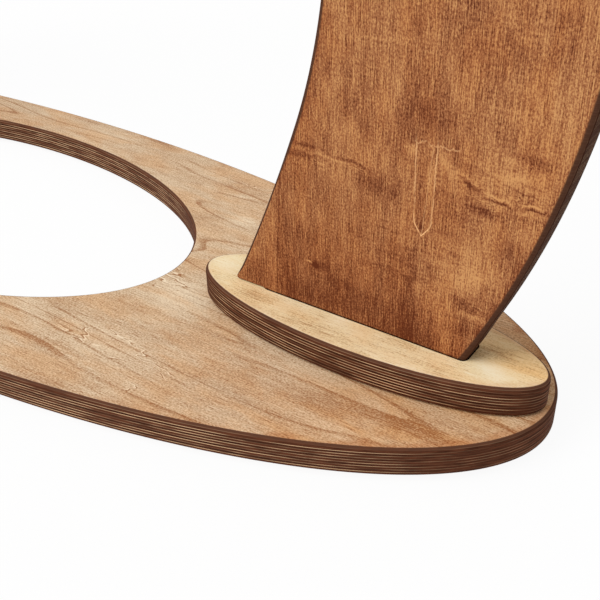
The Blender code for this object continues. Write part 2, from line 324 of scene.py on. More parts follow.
def fillet(before, corner, after, radius, steps):
    """The arc of that radius which touches both sides of a corner.

    Its centre lies on the corner's bisector, at the radius over the sine of half
    the corner's angle, and the arc turns by what the corner lacks to half a turn.
    """
    back = (before - corner) / np.linalg.norm(before - corner)
    ahead = (after - corner) / np.linalg.norm(after - corner)
    half = math.acos(back @ ahead) / 2
    bisector = (back + ahead) / np.linalg.norm(back + ahead)
    middle = corner + bisector * radius / math.sin(half)
    start = corner + back * radius / math.tan(half) - middle
    side = 1 if ahead[0] * back[1] - ahead[1] * back[0] > 0 else -1
    turn = np.linspace(0.0, side * (math.pi - 2 * half), steps + 1)
    x = start[0] * np.cos(turn) - start[1] * np.sin(turn)
    y = start[0] * np.sin(turn) + start[1] * np.cos(turn)
    return middle + np.stack([x, y], axis=1)


def mitres(points, closed):
    """At each point, the way to the right of travel, long enough to keep an offset's width.

    It is the sum of the normals of the two sides that meet there, over one plus
    their dot product.
    """
    step = np.diff(points, axis=0, append=points[:1] if closed else points[-1:])
    if not closed:
        step[-1] = step[-2]
    before = np.roll(step, 1, axis=0)
    if not closed:
        before[0] = step[0]
    right = []
    for way in (before, step):
        way = way / np.linalg.norm(way, axis=1, keepdims=True)
        right.append(np.stack([way[:, 1], -way[:, 0]], axis=1))
    return (right[0] + right[1]) / (1 + np.sum(right[0] * right[1], axis=1, keepdims=True))


# Surfaces: grids of points that become meshes


def eased_edge(sheet, share):
    """Inset and height across one edge of the sheet, from its lower to its upper face.

    Each eased corner is a quarter circle: the inset is the radius less its sine
    or cosine and the height runs the other way. A short flat strip follows it.
    The share is how much of the full radius each place along the edge has.
    """
    r = sheet.round_over * share[:, None]
    turn = np.linspace(0.0, np.pi / 2, sheet.round_steps + 1)
    flat = r + sheet.flat_hold
    inset = np.concatenate([flat, r * (1 - np.sin(turn)), r * (1 - np.cos(turn)), flat], axis=1)
    low = r * (1 - np.cos(turn))
    high = sheet.thickness - r + r * np.sin(turn)
    face = np.zeros_like(r)
    return inset, np.concatenate([face, low, high, face + sheet.thickness], axis=1)


def band_grid(outer, inner, sheet, closed, outer_share, inner_share):
    """A section of the sheet carried along two outlines that run side by side.

    The section goes up the outer edge, across, and down the inner edge. A point
    is the outline's point moved into the wood by its inset along the mitre, with
    its height through the sheet as the third number.
    """
    inset, height = eased_edge(sheet, outer_share)
    inner_inset, inner_height = eased_edge(sheet, inner_share)
    out = outer[:, None] - mitres(outer, closed)[:, None] * inset[..., None]
    back = inner[:, None] + mitres(inner, closed)[:, None] * inner_inset[:, ::-1, None]
    flat = np.concatenate([out, back], axis=1)
    rise = np.concatenate([height, inner_height[:, ::-1]], axis=1)
    return np.concatenate([flat, rise[..., None]], axis=2)


def disc_grid(outline, sheet):
    """The same section carried round one closed outline, from its lower to its upper face."""
    inset, height = eased_edge(sheet, np.ones(len(outline)))
    flat = outline[:, None] - mitres(outline, True)[:, None] * inset[..., None]
    return np.concatenate([flat, height[..., None]], axis=2).transpose(1, 0, 2)


def full_turn(steps):
    """Angles of that many even steps round."""
    return np.linspace(0.0, 2 * np.pi, steps, endpoint=False)


def all_round(values, steps):
    """A column for each step round: the values are the same all round, or differ already."""
    return np.broadcast_to(values if values.ndim == 2 else values[:, None], (len(values), steps))


def turned_grid(radius, height, steps):
    """Radius and height of each row, turned about Z: one row of points for each."""
    turn = full_turn(steps)
    radius = all_round(radius, steps)
    return np.stack([radius * np.cos(turn), radius * np.sin(turn), all_round(height, steps)], axis=2)


def wire_grid(path, radius, steps):
    """A round wire along a path in the XZ plane.

    A point is the path's point plus the radius times the cosine of the turn
    along the path's own normal and its sine along Y.
    """
    way = np.gradient(path, axis=0)
    way /= np.linalg.norm(way, axis=1, keepdims=True)
    normal = np.stack([-way[:, 1], np.zeros(len(way)), way[:, 0]], axis=1)
    place = np.stack([path[:, 0], np.zeros(len(path)), path[:, 1]], axis=1)
    turn = full_turn(steps)
    radius = all_round(radius, steps)
    across = (radius * np.cos(turn))[..., None] * normal[:, None]
    sideways = (radius * np.sin(turn))[..., None] * np.array([0.0, 1.0, 0.0])
    return place[:, None] + across + sideways


def rounded_end(path, radius, at_start):
    """Path and radius of a wire's rounded end: half a ball on the path's own line."""
    turn = np.linspace(0.0, np.pi / 2, END_STEPS + 1)[1:]
    way = path[0] - path[1] if at_start else path[-1] - path[-2]
    way = way / np.linalg.norm(way)
    tip = (path[0] if at_start else path[-1]) + radius * np.sin(turn)[:, None] * way
    thin = radius * np.cos(turn)
    return (tip[::-1], thin[::-1]) if at_start else (tip, thin)


def thread(rise, turn, core, radius, pitch, crest=1.6, slope=6.0):
    """Radius of a screw thread: a ridge that climbs by one pitch in each turn.

    Its height is the crest less the slope times the distance from the middle of
    the pitch, cut off flat at one and at nought.
    """
    share = np.mod(rise / pitch - turn / (2 * np.pi), 1.0)
    ridge = np.clip(crest - np.abs(share - 0.5) * slope, 0.0, 1.0)
    return core + (radius - core) * ridge


def skin(name, grid, ring=False, caps=False):
    """A mesh over rows of points, each row a closed loop joined to the next.

    A ring also joins its last row to its first, and caps close both end rows
    with one face each.
    """
    rows, columns = grid.shape[:2]
    index = np.arange(rows * columns).reshape(rows, columns)
    down = np.vstack([index, index[:1]]) if ring else index
    over = np.hstack([down, down[:, :1]])
    quads = np.stack([over[:-1, :-1], over[:-1, 1:], over[1:, 1:], over[1:, :-1]], axis=-1)
    faces = quads.reshape(-1, 4).tolist()
    if caps:
        faces += [index[0].tolist(), index[-1].tolist()]
    mesh = bpy.data.meshes.new(name)
    mesh.from_pydata(grid.reshape(-1, 3), [], faces)
    return mesh


def tidy(mesh):
    """Merges doubles, turns every face outwards and keeps only true corners sharp."""
    work = bmesh.new()
    work.from_mesh(mesh)
    bmesh.ops.remove_doubles(work, verts=work.verts, dist=WELD)
    bmesh.ops.recalc_face_normals(work, faces=work.faces)
    work.to_mesh(mesh)
    work.free()
    mesh.shade_smooth()
    mesh.set_sharp_from_angle(angle=CREASE)


def joined(name, meshes):
    """One mesh that holds several."""
    work = bmesh.new()
    for mesh in meshes:
        work.from_mesh(mesh)
        bpy.data.meshes.remove(mesh)
    made = bpy.data.meshes.new(name)
    work.to_mesh(made)
    work.free()
    return made


def placed(name, data):
    """An object in the scene that shows the mesh, lamp or camera."""
    item = bpy.data.objects.new(name, data)
    bpy.context.scene.collection.objects.link(item)
    return item


def bored(mesh, cutter):
    """The mesh less the cutter."""
    solids = [placed(item.name, item) for item in (mesh, cutter)]
    for item in solids:
        tidy(item.data)
    step = solids[0].modifiers.new("bore", "BOOLEAN")
    step.operation = "DIFFERENCE"
    step.solver = "EXACT"
    step.object = solids[1]
    bpy.context.view_layer.update()
    cut = solids[0].evaluated_get(bpy.context.evaluated_depsgraph_get())
    made = bpy.data.meshes.new_from_object(cut)
    for item in solids:
        used = item.data
        bpy.data.objects.remove(item)
        bpy.data.meshes.remove(used)
    return made


def piece(name, mesh, material, body, node):
    """The finished piece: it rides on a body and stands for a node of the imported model."""
    tidy(mesh)
    mesh.name = name
    mesh.materials.clear()
    mesh.materials.append(material)
    item = placed(name, mesh)
    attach(item, body)
    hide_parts(node)


def standing(grid):
    """A flat piece's grid, raised to stand in the XZ plane with its front towards -Y."""
    half = (grid[..., 2].max() - grid[..., 2].min()) / 2
    return np.stack([grid[..., 0], grid[..., 2] - half, grid[..., 1]], axis=-1)


def moved(grid, place, tilt=0.0, heading=0.0):
    """The grid turned about Y by the tilt, then about Z by the heading, then moved."""
    turn = Matrix.Rotation(heading, 3, "Z") @ Matrix.Rotation(tilt, 3, "Y")
    return grid @ np.array(turn).T + np.asarray(place)


# Places of the small parts


def underside(node):
    """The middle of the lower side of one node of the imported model."""
    low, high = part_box(node)
    return (low.x + high.x) / 2, (low.y + high.y) / 2, low.z


def screw_places(labels=("left", "right")):
    """Node and place of each screw of those sides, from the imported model."""
    for label in labels:
        for number in range(1, SCREWS_IN_A_PAD + 1):
            node = "pad_screw_%s_%d" % (label, number)
            yield node, underside(node)


def eye_place(eyes, ring, side):
    """Where an eye's shank enters the edge of the opening, and its tilt about Y."""
    tilt = math.asin(side * eyes.spread / ring.opening)
    return np.array([side * eyes.spread, 0.0, ring.centre + ring.opening * math.cos(tilt)]), tilt


def eye_drop(eyes):
    """From the wood to the middle of the eye's ring."""
    ring = eyes.bore + eyes.wire
    return eyes.stand_off + math.sqrt((ring + eyes.neck) ** 2 - eyes.neck ** 2)


# Materials


class Value:
    """A node's output, with the sums that nodes work out at each place of a surface."""

    def __init__(self, bench, socket):
        self.bench = bench
        self.socket = socket

    def __add__(self, other):
        return self.bench.math("ADD", self, other)

    def __sub__(self, other):
        return self.bench.math("SUBTRACT", self, other)

    def __rsub__(self, other):
        return self.bench.math("SUBTRACT", other, self)

    def __mul__(self, other):
        return self.bench.math("MULTIPLY", self, other)

    def __truediv__(self, other):
        return self.bench.math("DIVIDE", self, other)

    def __abs__(self):
        return self.bench.math("ABSOLUTE", self)

    def times(self, factor, plus):
        """The value times the factor, plus the last."""
        return self.bench.math("MULTIPLY_ADD", self, factor, plus)


class Bench:
    """Adds nodes to one material or world. An input may be a number, a colour, a socket or a Value."""

    def __init__(self, owner, shader="Principled BSDF"):
        self.owner = owner
        owner.use_nodes = True
        self.tree = owner.node_tree
        self.shader = self.tree.nodes[shader]

    def feed(self, socket, value):
        if isinstance(value, Value):
            value = value.socket
        if isinstance(value, bpy.types.NodeSocket):
            self.tree.links.new(value, socket)
        else:
            socket.default_value = value

    def node(self, kind, inputs, **choices):
        item = self.tree.nodes.new(kind)
        for key, value in choices.items():
            setattr(item, key, value)
        for key, value in inputs.items():
            self.feed(item.inputs[key], value)
        return item

    def value(self, kind, inputs, output=0, **choices):
        """One output of a new node, by its number or name."""
        return Value(self, self.node(kind, inputs, **choices).outputs[output])

    def math(self, operation, *values, clamp=False):
        return self.value("ShaderNodeMath", dict(enumerate(values)), operation=operation, use_clamp=clamp)

    def vector(self, x, y, z=0.0):
        return self.value("ShaderNodeCombineXYZ", {"X": x, "Y": y, "Z": z})

    def scaled(self, vector, scale):
        """The vector times one scale, or times one for each axis."""
        scales = scale if isinstance(scale, tuple) else (scale,) * 3
        return self.value("ShaderNodeVectorMath", {0: vector, 1: scales}, operation="MULTIPLY")

    def parts(self, vector):
        """The three numbers of a vector."""
        return [Value(self, socket) for socket in self.node("ShaderNodeSeparateXYZ", {0: vector}).outputs]

    def noise(self, vector, detail=2.0, rough=0.5, warp=0.0):
        inputs = {"Vector": vector, "Scale": 1.0, "Detail": detail, "Roughness": rough, "Distortion": warp}
        return self.value("ShaderNodeTexNoise", inputs, "Fac")

    def ease(self, value, low, high, start=0.0, end=1.0):
        """Goes smoothly from start to end as the value goes from low to high."""
        inputs = {"Value": value, "From Min": low, "From Max": high, "To Min": start, "To Max": end}
        return self.value("ShaderNodeMapRange", inputs, "Result", interpolation_type="SMOOTHSTEP")

    def mix(self, share, first, second, blend="MIX"):
        """Mixes two colours, or with MULTIPLY takes one times the other by that share."""
        first, second = [v if isinstance(v, Value) else (*v, 1.0) for v in (first, second)]
        inputs = {0: share, 6: first, 7: second}
        return self.value("ShaderNodeMix", inputs, 2, data_type="RGBA", blend_type=blend)

    def ramp(self, value, stops):
        item = self.node("ShaderNodeValToRGB", {"Fac": value})
        elements = item.color_ramp.elements
        while len(elements) < len(stops):
            elements.new(0.5)
        for element, (place, shade) in zip(elements, stops):
            element.position = place
            element.color = (*shade, 1.0)
        return Value(self, item.outputs["Color"])

    def bump(self, height, strength, distance):
        inputs = {"Height": height, "Strength": strength, "Distance": distance}
        return self.value("ShaderNodeBump", inputs, "Normal")

    def finish(self, inputs):
        for key, value in inputs.items():
            self.feed(self.shader.inputs[key], value)
        return self.owner


def made_once(make):
    """Gives the material of a name, and makes it when it is first asked for."""
    def give(name, **choices):
        found = bpy.data.materials.get(name)
        return found or make(Bench(bpy.data.materials.new(name)), **choices)

    return give


# Which of the stain's colours each finish takes, how strongly each part of the figure
# shows, and where along the grain a warmer far end starts and how much warmer it is
FIGURES = {
    "base_birch": {
        "tones": "base", "seed": 3.0, "speckle": 1.6, "fibre": 1.2, "streak": 0.36, "blotch": 0.50,
        "ripple": 0.3, "pore": 0.10, "ring": 0.34, "warm": 0.56, "amber": (270.0, 0.42), "rim": 0.05,
        "line": 1.0, "edge": 0.05, "gloss": 0.10,
    },
    "pad_birch": {
        "tones": "pad", "seed": 41.0, "speckle": 0.9, "fibre": 1.2, "streak": 0.30, "blotch": 0.80,
        "ripple": 0.3, "pore": 0.10, "ring": 0.08, "warm": 0.40, "amber": (330.0, 0.52), "rim": 0.16,
        "line": 1.0, "edge": 0.0, "gloss": 0.10,
    },
    "ring_birch": {
        "tones": "ring", "seed": 87.0, "speckle": 1.6, "fibre": 1.7, "streak": 0.45, "blotch": 0.80,
        "ripple": 0.8, "pore": 0.12, "ring": 0.05, "warm": 0.35, "rim": 0.0, "line": 0.30,
        "edge": -0.60, "gloss": 0.06,
    },
}

# How pale the wood is where it has each of its stain's colours
TONE_STOPS = {"dark": 0.10, "mid": 0.5, "light": 0.90}

# Places in the fields of noise, which only have to differ
OTHER_FACE = 19.0
CURL_SEED = 71.0
TINT_SEED = 91.0

# How many yearly rings the figure's hills hold, and how far noise shifts a mark along the grain
YEARS = 15.0
MARK_WOBBLE = 5.0

# Over how far the warmer far end comes in, and how strongly the fringe shows, which
# doubles there
AMBER_REACH = 50.0
FRINGE = 0.25

# The seam near the frame's inner edge, and the growth mark: places in millimetres
SEAM_PLACE = 254.2
SEAM_LEAN = 0.057
GROWTH_MIDDLE = 329.6
GROWTH_TIP = 87.5
GROWTH_CREST = 123.0
GROWTH_HALF_WIDTH = 3.8

# Marks in the face veneer, with one painted shade on the base: place along and across
# the grain and reach along and across it, in millimetres, how much darker (or, below
# nought, paler) it is, and how steeply it runs along the grain as it crosses it
MARKS = {
    "base_birch": [
        (252, -62, 34, 9, 0.08, 0), (306, -49, 30, 10, 0.24, 0), (374, -24, 12, 8, 0.1, 0),
        (391, 0, 5, 16, -0.2, 0), (356, -30, 30, 9, 0.08, 0), (205, -22, 28, 34, -0.2, 0),
        (182, 62, 16, 14, -0.22, 0), (157, -58, 20, 16, 0.12, 0), (156, 50, 18, 10, 0.1, 0),
        # The last base mark, at 362 along and 34 across, is partly painted shade, where the base lies in
        # shadow behind the right pad, and partly darker stain.
        (150, 92, 60, 10, 0.1, 0), (362, 34, 44, 20, 0.14, 0),
    ],
    "pad_birch": [
        (250, -15, 18, 8, 0.3, 0), (344, -19, 18, 8, 0.16, 0), (366, -4, 16, 8, -0.3, 0),
        (318, -24, 40, 6, -0.1, 0), (368, -8, 16, 11, -0.16, 0), (218, 0, 18, 13, -0.34, 0),
        (377, 9, 12, 9, -0.14, 0),
    ],
    "ring_birch": [
        (91.4, 329.9, 3, 1.5, 0.5, 0), (110, 332.6, 17, 2.6, -0.24, 0), (107, 328.6, 17, 2.2, 0.14, 0),
        (124, 324.8, 4.5, 2.8, -0.34, 0), (56.6, 278.5, 1.8, 2.8, 1, 0), (51, 291.3, 5, 24, 0.16, -0.15),
        (57.3, 275.3, 0.7, 2.2, -0.9, -0.2), (57.5, 280.8, 4, 9, 0.26, -0.1), (44, 291.3, 14, 42, 0.18, 0),
        (42, 242.3, 22, 18, 0.2, 0), (113.8, 274.3, 1.8, 14, 0.26, 0.05), (109.3, 271.3, 2.8, 15, 0.28, 0),
        (112, 296.3, 1.4, 16, 0.34, -0.1), (105, 307.3, 8, 17, 0.3, -0.3),
        (111.2, 284.3, 1, 14, -0.26, 0), (124, 292.3, 9, 13, -0.2, 0), (122.5, 339.1, 7, 5, -0.36, 0),
        (124.5, 322.8, 5, 3, -0.2, 0), (139, 331.3, 9, 14, 0.12, 0), (102, 329.3, 22, 20, 0.1, 0),
        (122, 287.3, 12, 14, 0.1, 0), (116, 349.3, 1.4, 8, 0.44, -0.4), (111.2, 362.3, 1, 9, 0.55, -0.18),
        (112, 376.3, 0.9, 8, 0.46, 0.1), (106, 356.3, 4, 12, 0.42, -0.1), (108.2, 385.3, 2.2, 9, 0.38, 0),
        (113.1, 361.3, 0.8, 9, -0.6, -0.2), (113.6, 375.3, 0.8, 8, -0.5, 0.05),
        (109.8, 373.3, 2, 7, -0.3, 0), (119, 345.3, 3.5, 6, -0.24, -0.3), (122, 369.3, 7, 15, -0.26, 0),
        (118.3, 371.3, 0.9, 10, 0.3, -0.12), (121.6, 373.3, 0.8, 10, 0.22, -0.1),
        (132, 371.3, 4, 20, 0.18, -0.2), (62, 351.3, 4.5, 9, 0.3, -0.2),
        (56.5, 357.3, 2.5, 9, -0.22, -0.1), (54, 344.3, 30, 9, -0.14, 0), (76, 353.3, 24, 20, -0.3, 0),
        (78, 364, 16, 8, -0.16, 0), (130, 367, 11, 16, -0.12, 0), (115, 344, 10, 9, -0.18, 0),
        (118, 309, 17, 10, -0.16, 0), (82, 272, 15, 20, -0.16, 0), (100, 373, 8, 9, -0.16, 0),
        (58, 289, 9, 16, 0.12, 0), (37, 278, 10, 48, 0.14, 0), (38, 334, 9, 12, 0.2, 0),
    ],
}

# Ragged pale lines in the veneer, each with painted shadow along one side: how fast
# their field changes along and across the grain, their strength, and the ovals they
# lie in, as places and reaches
CURLS = {
    "base_birch": (0.032, 0.11, 1, [
        (192, -66, 30, 10), (225, -71, 22, 12), (184, -9, 24, 12), (210, 13, 9, 5), (236, -87, 20, 4),
        (160, 100, 24, 8),
    ]),
    "ring_birch": (0.26, 0.05, 0.26, [
        (112, 367, 10, 26), (111, 288, 7, 28), (60, 352, 6, 13),
    ]),
}


def spot(bench, place, oval_place, slant=0.0):
    """One at the middle of an oval mark, easing to nought at its rim."""
    along, across, long, wide = oval_place
    turned = {
        "Vector": place, "Location": (along, across, 0.0), "Rotation": (0.0, 0.0, -math.atan(slant)),
        "Scale": (long, wide, 1.0),
    }
    inside = bench.value("ShaderNodeMapping", turned, vector_type="TEXTURE")
    far = bench.value("ShaderNodeVectorMath", {0: inside}, "Value", operation="LENGTH")
    return bench.ease(far, 0.0, 1.0, 1.0, 0.0)


def curls(bench, name, place, along, across):
    """Thin ragged pale lines where a field of noise crosses its middle, each with a dark side that is painted
    shadow, so it looks raised.
    """
    along_scale, across_scale, strength, ovals = CURLS[name]
    scaled = bench.vector(along * along_scale, across * across_scale, CURL_SEED)
    level = bench.noise(scaled, 2.0) - 0.5
    pale = bench.ease(abs(level - 0.006), 0.002, 0.010, 1.0, 0.0)
    # Painted shadow along one side of each pale line.
    dark = bench.ease(abs(level + 0.009), 0.002, 0.012, 0.5, 0.0)
    inside = 0.0
    for oval_place in ovals:
        here = bench.ease(spot(bench, place, oval_place), 0.0, 0.3, 0.0, strength)
        inside = bench.math("MAXIMUM", inside, here)
    return (pale - dark) * inside


def face_figure(bench, name, along, across, better):
    """How pale the face veneer is at a place, from nought to one, and its fibres.

    Sums fine speckle and fibres, long streaks, blotches where the stain took more,
    ripples across the grain in patches, dark pores and the yearly rings, which run
    like the contours of a hilly map and darken slowly up to a sharp end. The marks
    are on the better face alone, and the other face has figure of its own.
    """
    figure = FIGURES[name]

    def field(along_scale, across_scale, shift, detail, rough=0.5, warp=0.0):
        depth = better.times(-OTHER_FACE, figure["seed"] + shift + OTHER_FACE)
        scaled = bench.vector(along * along_scale, across * across_scale, depth)
        return bench.noise(scaled, detail, rough, warp)

    parts = {
        "speckle": field(0.90, 1.40, 3.0, 2.0, 0.7),
        "fibre": field(0.09, 2.5, 0.0, 2.0, 0.7),
        "streak": field(0.012, 0.30, 7.0, 4.0, 0.6, 0.3),
        "blotch": field(0.018, 0.040, 13.0, 4.0, 0.55, 0.5),
    }
    pale = 0.5
    for key, value in parts.items():
        pale = (value - 0.5).times(figure[key], pale)
    patches = bench.ease(field(0.020, 0.016, 23.0, 1.0), 0.45, 0.65)
    ripple = field(0.26, 0.045, 29.0, 4.0, 0.65, 1.2) - 0.5
    pale = (ripple * patches).times(figure["ripple"], pale)
    pore = bench.ease(field(0.32, 3.8, 31.0, 1.0), 0.62, 0.74)
    pale = pore.times(-figure["pore"], pale)
    hills = bench.math("FRACT", field(0.0022, 0.020, 37.0, 2.0, 0.4, 0.15) * YEARS)
    year = bench.ease(hills, 0.74, 0.95) * bench.ease(hills, 0.95, 0.99, 1.0, 0.0)
    year = year * bench.ease(field(0.008, 0.03, 43.0, 1.0), 0.38, 0.60)
    pale = year.times(-figure["ring"], pale)
    wobble = (field(0.08, 0.13, 53.0, 3.0) - 0.5).times(MARK_WOBBLE, along)
    place = bench.vector(wobble, across)
    marks = 0.0
    for *oval_place, darker, slant in MARKS[name]:
        marks = spot(bench, place, oval_place, slant).times(-darker, marks)
    if name in CURLS:
        marks = marks + curls(bench, name, place, along, across)
    if name == "ring_birch":
        # The frame's face is darker towards its foot, easing to a little paler from 120 millimetres up.
        pale = pale + bench.ease(along, 36.0, 120.0, -0.11, 0.03)
        marks = marks + seams(bench, along, across)
    return marks.times(better, pale), parts["fibre"]


def seams(bench, along, across):
    """Two seams in the front veneer of the round frame.

    One leans a little near the inner edge of the right foot: paler wood, then a
    thin dark line. The other runs down from the tip of the growth mark, with
    wood that darkens up to it.
    """
    leant = along.times(-SEAM_LEAN, across)
    strip = bench.ease(leant, SEAM_PLACE - 0.8, SEAM_PLACE - 0.2, 0.10, 0.0)
    line = bench.ease(abs(leant - SEAM_PLACE), 0.1, 0.5, -0.16, 0.0)
    dark = bench.ease(across, 316.3, 327.3) * bench.ease(across, 328.9, 330.1, 1.0, 0.0)
    dark = dark * bench.ease(along, 76.0, 92.0, -0.20, 0.0)
    return strip + line + dark


def growth_mark(bench, along, across):
    """The pale thin outline of a pointed growth mark on the front of the right foot.

    Its half width grows with the height above its tip, fast and then slowly, and
    the line is where the distance from its middle equals that. A fainter line
    leans up from the tip, and a wavy one crosses the open top.
    """
    rise = bench.math("MAXIMUM", along - GROWTH_TIP, 0.0)
    half = bench.math("SMOOTH_MIN", rise * 0.72, rise.times(0.02, GROWTH_HALF_WIDTH), 2.0)
    wander = bench.noise(bench.vector(along * 0.14, 5.0), 6.0, 0.65)
    off = across - wander.times(2.0, GROWTH_MIDDLE)
    gap = abs(abs(off) - half)
    sides = bench.ease(gap, 0.12, 0.42, 1.0, 0.0) * bench.ease(rise, 3.0, 10.0, 1.0, 0.58)
    lean = abs(rise.times(-0.07, off))
    sides = bench.math("MAXIMUM", sides, bench.ease(lean, 0.06, 0.30, 0.38, 0.0))
    above_tip = bench.ease(along, GROWTH_TIP - 0.4, GROWTH_TIP + 0.3)
    sides = sides * (above_tip * bench.ease(along, 126.0, 132.0, 1.0, 0.0))
    wave = bench.noise(bench.vector(across * 0.16, 9.0), 6.0, 0.6)
    crest = abs(along - wave.times(11.0, GROWTH_CREST))
    top = bench.ease(crest, 0.1, 0.5, 0.45, 0.0) * bench.ease(off, -7.0, -4.0)
    top = top * bench.ease(off, 12.0, 16.0, 1.0, 0.0)
    broken = bench.ease(bench.noise(bench.vector(along * 0.22, across), 2.0), 0.25, 0.50)
    return bench.math("MAXIMUM", sides, top) * broken


def rim_distance(bench, name, axes, stand):
    """How far a place on a face is from the nearest edge, in millimetres.

    For an oval it is one less the place's level, over the level's slope. For the
    round frame it is the lesser of the distances to its two circles.
    """
    x, y, z = axes
    if name == "ring_birch":
        ring = stand.ring
        rise = z - ring.centre * MILLIMETRES
        out = bench.math("SQRT", rise.times(rise, x * x))
        return bench.math("MINIMUM", ring.radius * MILLIMETRES - out, out - ring.opening * MILLIMETRES)
    middle = 0.0 if name == "base_birch" else stand.pads.middle * MILLIMETRES
    size = stand.base if name == "base_birch" else stand.pads
    half_long, half_wide = size.long / 2 * MILLIMETRES, size.wide / 2 * MILLIMETRES
    out, up = (abs(x) - middle) / half_long, y / half_wide
    level = bench.math("SQRT", out.times(out, up * up))
    slope_out, slope_up = out / half_long, up / half_wide
    slope = bench.math("SQRT", slope_out.times(slope_out, slope_up * slope_up))
    return (1.0 - level) * level / slope


def stained(bench, name, face, scaled, along, across, rim):
    """The face's colour with warmer patches, a warmer far end, which on the pads is mostly painted warm shade
    behind the upright, and a fringe drawn in from the rim.
    """
    figure = FIGURES[name]
    stain = bpy.context.scene.gong_stand.stain
    tint = bench.noise(bench.vector(along * 0.022, across * 0.06, TINT_SEED), 4.0, 0.6, 0.4)
    warm = bench.ease(tint, 0.38, 0.66) * figure["warm"]
    fringe = FRINGE
    if "amber" in figure:
        start, warmer = figure["amber"]
        amber = bench.ease(along, start, start + AMBER_REACH)
        # On the pads the warmer far end is strongest behind the upright: there it is painted warm shade, the
        # colour of the upright's shadow lit by light thrown back from the wood.
        if name == "pad_birch":
            amber = amber * bench.ease(across, -14.0, 2.0, 0.2, 1.0)
        warm = amber.times(warmer, warm)
        fringe = amber.times(FRINGE, FRINGE)
    face = bench.mix(warm, face, stain.warmth, "MULTIPLY")
    ragged = bench.noise(bench.scaled(scaled, 0.06), 4.0) - 0.5
    drawn = bench.ease(ragged.times(14.0, rim), 1.0, 5.0, fringe, 0.0)
    return bench.mix(drawn, face, stain.fringe, "MULTIPLY")


@made_once
def wood_material(bench):
    """Stained birch plywood: veneer on the sheet's two faces, plies and glue lines on its edges."""
    stand = bpy.context.scene.gong_stand
    stain = stand.stain
    name = bench.owner.name
    figure = FIGURES[name]
    thick = stand.sheet.thickness * MILLIMETRES
    tones = [getattr(stain, "%s_%s" % (figure["tones"], shade)) for shade in TONE_STOPS]
    place = bench.node("ShaderNodeTexCoord", {}).outputs
    scaled = bench.scaled(place["Object"], MILLIMETRES)
    axes = bench.parts(scaled)
    facing = bench.parts(place["Normal"])
    if name == "ring_birch":
        along, across, side = axes[2], axes[0], facing[0]
        depth = axes[1] + thick / 2
    else:
        top = base_high.z if name == "base_birch" else pad_high.z
        along, across, side = axes[0], axes[1], facing[1]
        depth = top * MILLIMETRES - axes[2]
    near = bench.math("MINIMUM", depth, thick - depth)

    better = bench.math("LESS_THAN", depth, thick / 2)
    pale, fibre = face_figure(bench, name, along, across, better)
    rim = rim_distance(bench, name, axes, stand)
    # Faces are paler within a few millimetres of their rim, by the finish's rim share.
    pale = pale + bench.ease(rim, 1.5, 3.5, figure["rim"], 0.0)
    face = bench.ramp(pale, list(zip(TONE_STOPS.values(), tones)))
    if name == "ring_birch":
        mark = growth_mark(bench, along, across) * (better * 0.95)
        face = bench.mix(mark, face, stain.ring_mark)
    face = stained(bench, name, face, scaled, along, across, rim)

    edge, line = ply_edge(bench, stand, figure, scaled, depth, near, side)
    worn = bench.ease((fibre - 0.5).times(0.10, near), 0.03, 0.17)
    if name == "ring_birch":
        worn = bench.math("MAXIMUM", worn, bench.ease(rim, 1.7, 2.6, 1.0, 0.0))
    shade = bench.mix(worn, face, edge)
    # Painted shade: below the seat the frame is multiplied by the tenon colour, fading out just above it, so
    # the slot's gap and the seat line look shadowed.
    if name == "ring_birch":
        seat = stand.ring.seat * MILLIMETRES
        below = bench.ease(axes[2], seat - 0.4, seat + 0.5, 1.0, 0.0)
        shade = bench.mix(below, shade, stain.tenon, "MULTIPLY")
    return bench.finish({
        "Base Color": shade,
        "Roughness": worn.times(0.3, bench.ease(fibre, 0.25, 0.75, 0.50, 0.64)),
        "Specular IOR Level": figure["gloss"],
        "Normal": bench.bump(line.times(0.5, fibre), 0.3, 0.0002),
    })


def ply_edge(bench, stand, figure, place, depth, near, side):
    """Colour of the sheet's edge, and where its glue lines are.

    The depth below the face ply over the thickness of an inner ply counts the
    plies: near a whole number lies a thin pale glue line, and odd and even plies
    run across each other, so one shows its end grain where the other shows its
    length.
    """
    stain, sheet = stand.stain, stand.sheet
    face_ply = sheet.face_ply * MILLIMETRES
    ply = (sheet.thickness * MILLIMETRES - 2 * face_ply) / (sheet.plies - 2)
    layer = (depth - face_ply) / ply
    share = bench.math("FRACT", layer)
    number = bench.math("FLOOR", layer)
    gap = bench.math("MINIMUM", share, 1.0 - share) * ply
    line = bench.ease(gap, 0.05, 0.22, 1.0, 0.0)
    inside = bench.ease(near, 0.3 * face_ply, 1.8 * face_ply)
    lengthways = abs(side)
    wander = bench.noise(bench.scaled(place, (0.035, 0.035, 0.55)), 3.0, 0.6)
    uneven = bench.ease(wander, 0.38, 0.62, 0.12, 1.0)
    along_edge = bench.ease(lengthways, 0.75, 0.99, 0.2, 1.0)
    line = (line * inside) * (uneven * along_edge) * figure["line"]

    odd = bench.math("MODULO", number, 2.0)
    cross = abs(odd - lengthways * lengthways)
    cloudy = bench.noise(bench.scaled(place, (0.12, 0.12, 1.9)), 3.0, 0.6)
    tone = (cloudy - 0.5).times(1.5, cross * 0.30) + figure["edge"]
    wood = bench.mix(bench.ease(tone, -0.2, 0.75), stain.edge_dark, stain.edge_mid)
    # The face ply's round-over takes the eased edge's colour: darker stain with a painted grey sheen.
    outer = bench.ease(near, 0.9 * face_ply, 1.1 * face_ply, 1.0, 0.0)
    eased = outer * bench.ease(cloudy, 0.3, 0.7, 0.9, 0.45)
    wood = bench.mix(eased, wood, stain.round_over_stain_and_sheen)
    return bench.mix(line, wood, stain.edge_light), line


